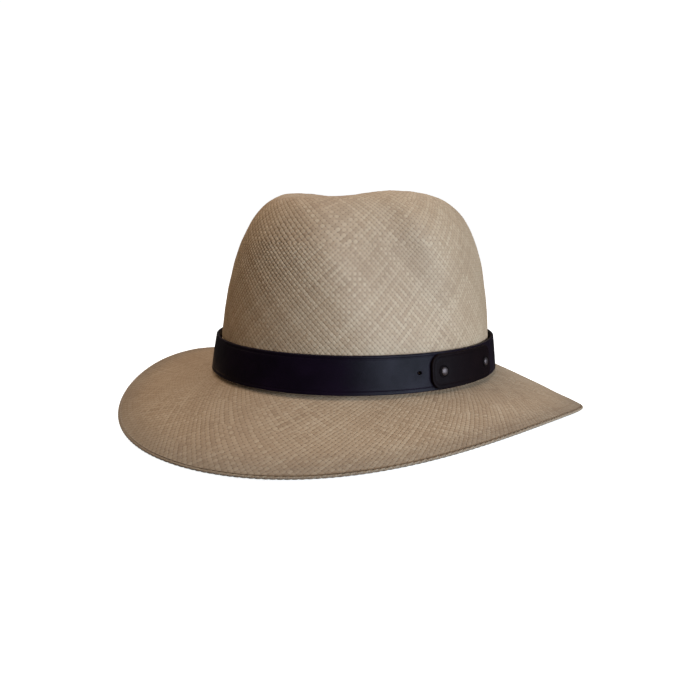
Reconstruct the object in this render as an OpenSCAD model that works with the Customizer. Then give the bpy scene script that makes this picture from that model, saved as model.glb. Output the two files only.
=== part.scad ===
// Panama hat with a front-pinched crown, a leather band and a riveted tab.
// The origin is the centre of the head opening, on the line where the crown
// meets the brim. +Z is up, -Y is the front and +X is the wearer's left.

/* [Head oval] */
// Half width of the straw at the brim line, side to side
straw_half_w = 86.5; // [84:0.5:90]
// Half length of the straw at the brim line, front to back
straw_half_l = 103.5; // [101:0.5:108]
// Thickness of the woven straw
straw_t = 1.2; // [1:0.1:1.6]

/* [Crown] */
// Height of the crown before the dent is pressed in
crown_h = 117.5; // [108:0.5:126]
// Share of its width that the crown loses on the way up
crown_taper = 0.11; // [0.06:0.01:0.14]
// How far the top leans to the front
crown_lean = 5.5; // [0:0.5:8]
// How much lower the top is at its back than in its middle
crown_fall = 1.6; // [0:0.2:4]
// How much higher the top is at the wearer's left than in its middle
crown_skew = 2; // [0:0.2:3]
// Roundness of the shoulder seen from above, lower is boxier
shoulder_round = 0.42; // [0.38:0.01:0.6]
// Roundness of the shoulder seen from the side, lower is boxier
shoulder_rise = 0.556; // [0.5:0.004:0.8]

/* [Dent and pinches] */
// Depth of the long dent in the top
dent_depth = 17; // [12:1:22]
// Half width of the long dent
dent_half_w = 25; // [20:1:28]
// Pinch depth, as a share of the crown's radius there
pinch_depth = 0.098; // [0.06:0.002:0.13]
// Angle between the front and the middle of each pinch
pinch_angle = 49; // [42:1:54]
// Height of the deepest place of each pinch
pinch_height = 94; // [88:1:100]

/* [Brim] */
// Mean width of the brim, measured along the ground
brim_w = 63.3; // [55:0.1:72]
// Mean drop of the brim's edge
brim_drop = 20.6; // [16:0.1:26]
// How much lower the edge is at the front and back than at the sides
brim_sweep = 9.4; // [6:0.1:14]
// How much lower the back half of the edge is than the front half
brim_back_drop = 2.2; // [0:0.1:5]

/* [Leather band] */
// Height of the leather band
band_h = 22.2; // [20:0.2:28]
// Thickness of the band and of the tab
leather_t = 1.8; // [1.5:0.1:2]
// How far the middle of the band stands out from the head oval
band_gap = 1.4; // [1:0.1:2]
// How much further out the band's lower edge is than its upper edge
band_flare = 3.2; // [2:0.2:4]
// Length of the tab that joins the ends of the band
tab_l = 62.4; // [56:0.2:70]
// Height of the tab
tab_h = 20.4; // [18:0.2:24]
// Distance between the two rivets
rivet_pitch = 45; // [40:0.2:52]
// Diameter of a rivet's cap
cap_d = 7.5; // [6:0.5:9]

/* [Sweatband] */
// Height of the sweatband
sweat_h = 34; // [28:1:38]
// Thickness of the sweatband
sweat_t = 1; // [0.8:0.1:1.2]
// Diameter of the reed along its lower edge
reed_d = 1.6; // [1.4:0.1:2]
// Number of stitches that hold it to the straw
stitch_count = 96; // [72:4:120]

/* [Hidden] */
$fn = 48;

turn_steps = 96;          // straight sides around the oval
wall_rows = 10;           // rows of points up the crown's wall
top_rows = 12;            // rows from the shoulder to the middle of the top
brim_rows = 7;            // rows across the brim
shoulder_start = 0.85;    // share of the height where the wall ends

dent_y = [-0.8, -0.25, 0.22, 0.95]; // where the dent starts, is full, eases off and ends
dent_power = 2.4;         // higher is a flatter floor with steeper sides
dent_rise = [0.5, 0.97];  // shares of the height between which the dent sets in
pinch_reach_front = 19.6; // degrees from a pinch's middle to its nose side
pinch_reach_side = 16;    // degrees from its middle to the side of the crown
pinch_reach_up = 21;      // how far up a pinch fades out
pinch_reach_down = 52;    // how far down it fades out
pinch_flatness = 3.2;     // higher is a flatter hollow with a sharper border
pinch_fade = 2.65;        // higher is a more sudden end up and down
pinch_slant = 0.27;       // degrees that a pinch drifts to the side per mm down
pinch_slant_z = 90;       // height at which it stands at its own angle

brim_w_sweep = 1;         // extra width at the sides, less at front and back
brim_snap = 3.5;          // dip at the front, and at the two sides of the back
brim_wave = 2.3;          // dip half way between front, sides and back
brim_straight = 0.8;      // 1 is a straight brim, less curls down at the edge
brim_hollow = 0.3;        // sag half way across the brim

band_half_w = straw_half_w + band_gap;
band_half_l = straw_half_l + band_gap;
band_z = 1.2;
tab_mid_y = -11.9;
tab_corner_r = 7;
band_end_gap = 1;
post_r = 1.5;
post_hole_r = 1.55;
cap_rim_h = 0.5;
cap_dome_h = 1.3;
flange_r = 3.2;
flange_t = 0.6;
flange_sink = 0.1;         // air between the flange and the curved leather
punch_r = 1.1;
punch_angle = -28.2;
tack_angles = [40, 140, 220, 320];
tack_r = 0.25;
tack_l = 5;

sweat_gap = 0.35;
sweat_z = 1.4;
reed_z = 0;
seam_gap_angle = 0.3;
seam_tape_angle = 4;
seam_tape_t = 0.5;
seam_tape_z = 4;
seam_tape_h = 28;
thread_r = 0.22;
thread_lift = 0.05;       // air between a thread and the leather that it lies on
wall_steps = 4;           // rows of points up the sweatband and along the tape
reed_sides = 8;
stitch_l = 3.2;
stitch_z = 3;
seam_stitch_angle = 2.4;
seam_stitch_rows = 7;
seam_stitch_l = 2.4;

// A smooth step from 0 at a to 1 at b
function ease(a, b, x) = let (u = min(1, max(0, (x - a) / (b - a)))) u * u * (3 - 2 * u);
// A hill of height 1 and half width w, flatter on top with a higher power p
function hill(x, w, p) = exp(-pow(abs(x / w), p));
// An angle brought between -180 and 180
function wrap(a) = a - 360 * round(a / 360);
// Crown radius as a share of the base, for a share of the height
function share_of_radius(zs) = pow(1 - pow(zs, 2 / shoulder_rise), shoulder_round / 2);
// The reverse: share of the height for a share of the radius
function share_of_height(rs) = pow(1 - pow(rs, 2 / shoulder_round), shoulder_rise / 2);

// How far one pinch pulls the wall in at angle a and height z
function pinch(a, z, side) =
    let (mid = -90 + side * (pinch_angle + (pinch_slant_z - z) * pinch_slant),
         off = side * wrap(a - mid),
         reach = off > 0 ? pinch_reach_side : pinch_reach_front,
         reach_z = z > pinch_height ? pinch_reach_up : pinch_reach_down)
    pinch_depth * hill(off, reach, pinch_flatness) * hill(z - pinch_height, reach_z, pinch_fade);

// How far the long dent lowers the top
function dent(x, y, zs) =
    let (ys = y / straw_half_l,
         along = ease(dent_y[0], dent_y[1], ys) * (1 - ease(dent_y[2], dent_y[3], ys)))
    dent_depth * hill(x, dent_half_w, dent_power) * along
        * ease(dent_rise[0], dent_rise[1], zs);

// A point on the crown: an oval that narrows to the top, pinched in at the
// front, with the dent pressed down and the top a little out of level. inset is
// the distance inside the straw.
function crown_point(a, rs, zs, inset) =
    let (scale_in = rs * (1 - crown_taper * zs),
         z = (crown_h - inset) * zs,
         x1 = (straw_half_w - inset) * scale_in * cos(a),
         y1 = (straw_half_l - inset) * scale_in * sin(a) - crown_lean * zs * zs,
         k1 = 1 - pinch(a, z, 1),
         k2 = 1 - pinch(a, z, -1),
         x = x1 * k1 * k2,
         y = y1 * k1 * k2)
    [x, y, z - dent(x, y, zs) + (crown_skew * x / straw_half_w - crown_fall * y / straw_half_l) * zs * zs];

// A point on the wall at a height in mm
function wall_point(a, z, inset) =
    let (zs = z / (crown_h - inset)) crown_point(a, share_of_radius(zs), zs, inset);

// A point on the brim: u runs from 0 at the crown to 1 at the edge
function brim_point(a, u, drop_by) =
    let (f = a + 90,
         nx = cos(a) / straw_half_w,
         ny = sin(a) / straw_half_l,
         n = sqrt(nx * nx + ny * ny),
         w = brim_w - brim_w_sweep * cos(2 * f),
         drop = brim_drop - brim_back_drop * cos(f) + brim_sweep * cos(2 * f)
             + brim_snap * cos(3 * f) - brim_wave * cos(4 * f),
         z = -drop * (brim_straight * u + (1 - brim_straight) * u * u) - brim_hollow * 4 * u * (1 - u))
    [straw_half_w * cos(a) + nx / n * w * u, straw_half_l * sin(a) + ny / n * w * u, z - drop_by];

// One half outline of the crown, from just below the middle of the top down
crown_shares = concat(
    [for (i = [1:top_rows]) let (rs = share_of_radius(shoulder_start) * i / top_rows)
        [rs, share_of_height(rs)]],
    [for (i = [1:wall_rows - 1]) let (zs = shoulder_start * (1 - i / wall_rows))
        [share_of_radius(zs), zs]]);

function outer_row(a) = concat(
    [for (p = crown_shares) crown_point(a, p[0], p[1], 0)],
    [for (i = [0:brim_rows]) brim_point(a, i / brim_rows, 0)]);
// The underside starts where the inner wall ends, a straw's thickness inside
function under_point(a, u) =
    let (p = brim_point(a, u, straw_t), q = brim_point(a, 0, 0), k = straw_t * (1 - u))
    [p[0] - k * cos(a), p[1] - k * sin(a), p[2]];
function inner_row(a) = concat(
    [for (p = crown_shares) crown_point(a, p[0], p[1], straw_t)],
    [for (i = [0:brim_rows]) under_point(a, i / brim_rows)]);

// Triangles that join a list of equal loops of points into one skin. A ring
// joins the last loop to the first, and a strip is closed by flat ends.
function loop_faces(loops, n, ring) =
    let (last = ring ? loops - 1 : loops - 2)
    concat(
        [for (i = [0:last]) for (j = [0:n - 1])
            let (a = i * n, b = ((i + 1) % loops) * n, k = (j + 1) % n)
            for (t = [[a + j, a + k, b + j], [a + k, b + k, b + j]]) t],
        ring ? [] : [[for (j = [0:n - 1]) n - 1 - j], [for (j = [0:n - 1]) (loops - 1) * n + j]]);
module skin(loops, ring) {
    polyhedron(points = [for (l = loops) each l],
               faces = loop_faces(len(loops), len(loops[0]), ring), convexity = 10);
}

// A wall that follows the inside of the straw between two angles
module inner_wall(from_angle, to_angle, steps, inset, t, z0, h, rows, ring) {
    loops = [for (i = [0:(ring ? steps - 1 : steps)])
        let (a = from_angle + (to_angle - from_angle) * i / steps)
        concat([for (r = [0:rows]) wall_point(a, z0 + h * r / rows, inset)],
               [for (r = [rows:-1:0]) wall_point(a, z0 + h * r / rows, inset + t)])];
    skin(loops, ring);
}

// A point of the leather band, off outside its inner face, which leans in to the top
function band_point(a, off, z) =
    let (out = off + band_flare * (band_mid - z) / band_h)
    [(band_half_w + out) * cos(a), (band_half_l + out) * sin(a), z];
// A ring of leather, between two distances outside that face
module oval_ring(off, t, z0, h) {
    loops = [for (i = [0:turn_steps - 1]) let (a = 360 * i / turn_steps)
        [band_point(a, off + t, z0), band_point(a, off + t, z0 + h),
         band_point(a, off, z0 + h), band_point(a, off, z0)]];
    skin(loops, true);
}

// Places its child on the outside of an oval grown by off, with the child's
// +Z pointing straight out of the leather
module on_band(a, off, z) {
    out = atan2(sin(a) / (band_half_l + off), cos(a) / (band_half_w + off));
    translate(band_point(a, off, z))
        rotate([0, 0, out])
            rotate([0, 90 - atan(band_flare / band_h), 0])
                children();
}
function band_angle(y) = asin(y / (band_half_l + leather_t));
front_rivet = band_angle(tab_mid_y - rivet_pitch / 2);
rear_rivet = band_angle(tab_mid_y + rivet_pitch / 2);
band_mid = band_z + band_h / 2;

// A round-cornered plate in the YZ plane that cuts the tab's outline
module tab_outline() {
    x0 = band_half_w / 2;
    translate([x0, tab_mid_y, band_mid])
        rotate([90, 0, 90])
            linear_extrude(height = band_half_w)
                union() {
                    square([tab_l, tab_h - 2 * tab_corner_r], center = true);
                    square([tab_l - 2 * tab_corner_r, tab_h], center = true);
                    for (sx = [-1, 1], sy = [-1, 1])
                        translate([sx * (tab_l / 2 - tab_corner_r), sy * (tab_h / 2 - tab_corner_r)])
                            circle(r = tab_corner_r);
                }
}

module rivet_hole(a) {
    on_band(a, 0, band_mid)
        translate([0, 0, -2 * leather_t])
            cylinder(r = post_hole_r, h = 6 * leather_t);
}

// Crown and brim, woven in one piece
module straw_body() {
    color("#b39a7c") {
        angles = [for (i = [0:turn_steps - 1]) 360 * i / turn_steps];
        rows = [for (a = angles) let (low = inner_row(a))
            concat(outer_row(a), [for (j = [len(low) - 1:-1:0]) low[j]])];
        n = len(rows[0]);
        top_out = turn_steps * n;
        top_in = top_out + 1;
        sides = [for (i = [0:turn_steps - 1]) for (j = [0:n - 2])
            let (a = i * n + j, b = ((i + 1) % turn_steps) * n + j)
            for (t = [[a, a + 1, b], [a + 1, b + 1, b]]) t];
        caps = [for (i = [0:turn_steps - 1]) let (a = i * n, b = ((i + 1) % turn_steps) * n)
            for (t = [[top_out, a, b], [top_in, b + n - 1, a + n - 1]]) t];
        polyhedron(points = concat([for (r = rows) each r],
                                   [crown_point(0, 0, 1, 0), crown_point(0, 0, 1, straw_t)]),
                   faces = concat(sides, caps), convexity = 10);
    }
}

// Leather strap whose ends meet under the tab
module hatband() {
    color("#17101a")
        difference() {
            oval_ring(0, leather_t, band_z, band_h);
            translate([band_half_w - 4 * leather_t, tab_mid_y - band_end_gap / 2, band_z - 1])
                cube([8 * leather_t, band_end_gap, band_h + 2]);
            rivet_hole(front_rivet);
            rivet_hole(rear_rivet);
            on_band(punch_angle, 0, band_mid)
                translate([0, 0, -leather_t])
                    cylinder(r = punch_r, h = 4 * leather_t);
        }
}

// Leather tab riveted over the meeting ends
module band_tab() {
    color("#1e1418")
        difference() {
            intersection() {
                oval_ring(leather_t, leather_t, band_z, band_h);
                tab_outline();
            }
            rivet_hole(front_rivet);
            rivet_hole(rear_rivet);
        }
}

// Domed cap pressed over the rivet's post
module rivet_cap(a) {
    dome_r = (pow(cap_d / 2, 2) + pow(cap_dome_h, 2)) / (2 * cap_dome_h);
    color("#8d857c")
        on_band(a, 2 * leather_t, band_mid)
            union() {
                cylinder(d = cap_d, h = cap_rim_h);
                intersection() {
                    translate([0, 0, cap_rim_h])
                        cylinder(d = cap_d, h = cap_dome_h);
                    translate([0, 0, cap_rim_h + cap_dome_h - dome_r])
                        sphere(r = dome_r);
                }
            }
}
module front_rivet_cap() { rivet_cap(front_rivet); }
module rear_rivet_cap() { rivet_cap(rear_rivet); }

// Post through both leathers, with its flange behind the band
module rivet_post(a) {
    color("#6f685f")
        on_band(a, 0, band_mid)
            union() {
                translate([0, 0, -flange_t - flange_sink])
                    cylinder(r = flange_r, h = flange_t);
                translate([0, 0, -flange_sink - flange_t / 2])
                    cylinder(r = post_r, h = 2 * leather_t + flange_sink + flange_t / 2);
            }
}
module front_rivet_post() { rivet_post(front_rivet); }
module rear_rivet_post() { rivet_post(rear_rivet); }

// Thread tacks between the straw and the band, which stop it riding up
module band_tacks() {
    color("#3a2f28")
        for (a = tack_angles) {
            z = band_mid;
            w = wall_point(a, z, 0);
            b = band_point(a, 0, z);
            translate((w + b) / 2 - [0, 0, tack_l / 2])
                cylinder(r = tack_r, h = tack_l);
        }
}

// Sweatband strip inside the opening, with its ends meeting at the back
module sweatband() {
    color("#c9b08e")
        inner_wall(90 + seam_gap_angle, 450 - seam_gap_angle, turn_steps, straw_t + sweat_gap,
                   sweat_t, sweat_z, sweat_h, wall_steps, false);
}

// Reed that stiffens the sweatband's lower edge
module sweatband_reed() {
    inset = straw_t + sweat_gap + reed_d / 2;
    loops = [for (i = [0:turn_steps - 1]) let (a = 360 * i / turn_steps)
        [for (j = [0:reed_sides - 1]) let (q = 360 * j / reed_sides, off = reed_d / 2 * cos(q))
            [(straw_half_w - inset + off) * cos(a), (straw_half_l - inset + off) * sin(a),
             reed_z + reed_d / 2 * sin(q)]]];
    color("#bda17c")
        skin(loops, true);
}

// A straight stitch lying on the inside of the sweatband
module stitch(a, z, l, inset, upright) {
    p = wall_point(a, z, inset);
    along = atan2(straw_half_l * cos(a), -straw_half_w * sin(a));
    translate(p)
        rotate([0, 0, along])
            rotate([0, upright ? 0 : 90, 0])
                translate([0, 0, -l / 2])
                    cylinder(r = thread_r, h = l);
}

// Running stitches that join sweatband, reed and straw
module sweatband_stitching() {
    color("#e6dcc8")
        for (i = [0:stitch_count - 1])
            stitch((i + 0.5) * 360 / stitch_count, stitch_z, stitch_l,
                   straw_t + sweat_gap + sweat_t + thread_r + thread_lift, false);
}

// Tape over the place where the sweatband's ends meet
module seam_tape() {
    color("#b89b76")
        inner_wall(90 - seam_tape_angle, 90 + seam_tape_angle, wall_steps,
                   straw_t + sweat_gap + sweat_t + thread_lift, seam_tape_t, seam_tape_z,
                   seam_tape_h, wall_steps, false);
}

// Two upright rows of stitches that hold the tape
module seam_tape_stitching() {
    inset = straw_t + sweat_gap + sweat_t + seam_tape_t + thread_r + 2 * thread_lift;
    step = seam_tape_h / seam_stitch_rows;
    color("#e6dcc8")
        for (side = [-1, 1], i = [0:seam_stitch_rows - 1])
            stitch(90 + side * seam_stitch_angle, seam_tape_z + step * (i + 0.5),
                   seam_stitch_l, inset, true);
}

straw_body();
hatband();
band_tab();
front_rivet_cap();
front_rivet_post();
rear_rivet_cap();
rear_rivet_post();
band_tacks();
sweatband();
sweatband_reed();
sweatband_stitching();
seam_tape();
seam_tape_stitching();
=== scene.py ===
"""A panama hat: straw woven on the diagonal, a leather strap with a riveted tab, and a sewn-in sweatband.

Shapes are worked out in millimetres, and put() turns them to metres. The origin is the centre of the head
opening, +X is the wearer's left, where the tab is, -Y the front and +Z up. Angles run from +X over +Y.
"""

import bmesh
import bpy
import numpy as np
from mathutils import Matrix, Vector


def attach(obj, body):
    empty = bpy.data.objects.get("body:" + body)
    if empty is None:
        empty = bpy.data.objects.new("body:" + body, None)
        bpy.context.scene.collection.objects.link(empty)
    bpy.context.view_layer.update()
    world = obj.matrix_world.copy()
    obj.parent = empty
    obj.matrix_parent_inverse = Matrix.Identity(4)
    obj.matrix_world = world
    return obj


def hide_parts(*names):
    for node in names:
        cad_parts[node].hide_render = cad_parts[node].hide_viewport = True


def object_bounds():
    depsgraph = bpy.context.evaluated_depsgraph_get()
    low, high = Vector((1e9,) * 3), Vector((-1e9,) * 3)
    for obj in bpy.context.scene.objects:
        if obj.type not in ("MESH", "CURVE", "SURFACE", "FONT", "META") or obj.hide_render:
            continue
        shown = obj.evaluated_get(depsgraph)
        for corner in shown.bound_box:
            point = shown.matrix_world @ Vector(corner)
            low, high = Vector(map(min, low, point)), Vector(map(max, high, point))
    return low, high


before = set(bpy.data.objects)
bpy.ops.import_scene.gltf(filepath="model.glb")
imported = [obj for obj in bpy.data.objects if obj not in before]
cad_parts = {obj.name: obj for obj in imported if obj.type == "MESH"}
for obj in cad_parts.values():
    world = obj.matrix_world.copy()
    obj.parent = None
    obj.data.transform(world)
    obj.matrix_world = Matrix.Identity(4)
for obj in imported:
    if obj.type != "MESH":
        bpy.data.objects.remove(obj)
cad_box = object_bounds()

# The crown, as the part's source has it, in millimetres and degrees.
HALF_WIDTH, HALF_LENGTH, CROWN = 86.5, 103.5, 117.5
TAPER, LEAN = 0.11, 5.5
FALL, SKEW = 1.6, 2.0
ROUND, RISE = 0.42, 0.556
STRAW = 1.2
MEAN_RADIUS = (HALF_WIDTH + HALF_LENGTH) / 2
# The dent: where it starts, is full, eases off and ends along the top, and where it sets in up the crown.
DENT_DEPTH, DENT_HALF_WIDTH, DENT_POWER = 17, 25, 2.4
DENT_Y = (-0.8, -0.25, 0.22, 0.95)
DENT_RISE = (0.5, 0.97)
# The pinches: their reach is in degrees to the nose and to the side, and in mm up and down.
PINCH_DEPTH, PINCH_ANGLE, PINCH_HEIGHT = 0.098, 49, 94
PINCH_NOSE, PINCH_SIDE, PINCH_UP, PINCH_DOWN = 19.6, 16, 21, 52
PINCH_FLATNESS, PINCH_FADE = 3.2, 2.65
PINCH_SLANT, PINCH_SLANT_Z = 0.27, 90
# The brim: its width, the waves of its drop round the hat, and how it curls on the way out.
BRIM, BRIM_WIDTH_SWEEP = 63.3, 1
DROP, BACK_DROP, SWEEP, SNAP, WAVE = 20.6, 2.2, 9.4, 3.5, 2.3
STRAIGHT, CURL, HOLLOW = 0.8, 0.2, 0.3
# The weave: strands in one lay, from CROWN_FROM up, and over the brim with how far out each count runs.
CROWN_STRANDS, CROWN_FROM = 186, 22.0
BRIM_ZONES = ((192, 15.0), (222, 32.0), (257, 51.0), (297, BRIM - 0.7))
# The crown's strands grow FEWER where each has CLOSEST mm of its ring's radius, down to FEWEST.
CLOSEST, FEWER, FEWEST, TIP_RADIUS = 0.4389, 1.3, 9, 2.2
# The nose between the pinches, where the weave is drawn open: its height and its reach in mm and degrees.
NOSE_HEIGHT, NOSE_REACH = 77, 20
# The strap, the tab and the sweatband.
BAND_GAP, BAND_FLARE, LEATHER = 1.4, 3.2, 1.8
BAND_LOW, BAND_HIGH = 1.2, 23.4
TAB_Y, TAB_Z = -11.9, 12.3
TAB_HALF, TAB_RISE, TAB_CORNER = 31.2, 10.2, 7.0
RIVET_Y = 22.5
PUNCH_ANGLE, PUNCH_RADIUS = -28.2, 1.1
SWEAT_OUT, SWEAT_IN = 1.55, 2.55
SWEAT_LOW, SWEAT_HIGH = 1.4, 35.4
# The tape over the sweatband's ends, at the back.
BACK, TAPE_HALF_ANGLE, TAPE_LOW, TAPE_HEIGHT = 90, 4, 4, 28
TAPE_THICK, TAPE_GAP = 0.5, 0.12

chance = np.random.default_rng(58)


# ---- camera, lights and floor


def aim(thing, spot, target):
    """Puts a camera or light at spot, in metres, and turns it to look at target."""
    toward = np.array(target, float) - np.array(spot, float)
    thing.location = spot
    thing.rotation_euler = Vector(toward).to_track_quat("-Z", "Y").to_euler()
    bpy.context.scene.collection.objects.link(thing)


def polar(azimuth, height, distance):
    """A point in metres, azimuth degrees round from the front and height degrees up from the level."""
    a, h = np.radians([azimuth, height])
    return distance * np.array([np.sin(a) * np.cos(h), -np.cos(a) * np.cos(h), np.sin(h)])


camera = bpy.data.objects.new("camera", bpy.data.cameras.new("camera"))
aim(camera, polar(azimuth=35.4, height=11.4, distance=0.48), (0, 0, 0))
camera.rotation_euler.rotate_axis("Z", np.radians(1.9))
camera.data.lens = 35.1
camera.data.sensor_width = 36
camera.data.shift_x = -0.0126
camera.data.shift_y = 0.0177
camera.data.clip_start = 0.01
bpy.context.scene.camera = camera
bpy.context.scene.view_settings.view_transform = "Standard"

# name, azimuth, height, distance, width and height in metres, power in watts, colour
for name, azimuth, height, distance, width, tall, power, tint in (
    ("window_light", 86, 9, 1.3, 1.3, 0.8, 30.5, (0.7, 0.88, 1.05)),
    ("top_light", -20, 70, 1.3, 1.0, 1.0, 8.0, (1.0, 0.93, 0.83)),
    ("front_fill_light", -60, 36, 1.5, 1.2, 1.0, 3.0, (1.0, 0.8, 0.5)),
    ("back_fill_light", 215, 50, 1.6, 1.2, 1.0, 5.0, (1.0, 0.95, 0.88)),
):
    lamp = bpy.data.lights.new(name, "AREA")
    lamp.shape = "RECTANGLE"
    lamp.size = width
    lamp.size_y = tall
    lamp.energy = power
    lamp.color = tint
    aim(bpy.data.objects.new(name, lamp), polar(azimuth, height, distance), (0, 0, 0.04))


# ---- materials


def srgb(text):
    """The linear colour of an sRGB hex value, with alpha 1."""
    c = np.array([int(text[i : i + 2], 16) for i in (1, 3, 5)]) / 255
    return (*np.where(c <= 0.04045, c / 12.92, ((c + 0.055) / 1.055) ** 2.4).tolist(), 1.0)


def plug(tree, socket, value):
    """Sets a socket to a value, or links it to another socket or to a node's first output."""
    if isinstance(value, bpy.types.Node):
        value = value.outputs[0]
    if isinstance(value, bpy.types.NodeSocket):
        tree.links.new(value, socket)
    else:
        socket.default_value = value


def add(tree, kind, inputs=None, **settings):
    """One shader node: inputs are values, nodes or sockets, stops are a colour ramp's places and hex colours,
    and the other settings are the node's own properties."""
    n = tree.nodes.new("ShaderNode" + kind)
    stops = settings.pop("stops", ())
    while len(stops) > 2 and len(n.color_ramp.elements) < len(stops):
        n.color_ramp.elements.new(0.5)
    for number, (place, colour) in enumerate(stops):
        n.color_ramp.elements[number].position = place
        n.color_ramp.elements[number].color = srgb(colour)
    for name, value in settings.items():
        setattr(n, name, value)
    for key, value in (inputs or {}).items():
        plug(tree, n.inputs[key], value)
    return n


def new_material(name):
    """A new material and its node tree."""
    mat = bpy.data.materials.new(name)
    mat.use_nodes = True
    return mat, mat.node_tree


def finish_of(mat, colour, height=None, depth=0.0, rough=0.5, **constants):
    """Fills in a material: colour and rough are values or nodes, height a node for a bump depth mm deep."""
    tree = mat.node_tree
    values = {"Base Color": colour, "Roughness": rough}
    values.update({key.replace("_", " "): value for key, value in constants.items()})
    if height is not None:
        values["Normal"] = add(tree, "Bump", {"Height": height, "Distance": depth / 1000, "Strength": 1.0})
    for key, value in values.items():
        plug(tree, tree.nodes["Principled BSDF"].inputs[key], value)
    return mat


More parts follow.
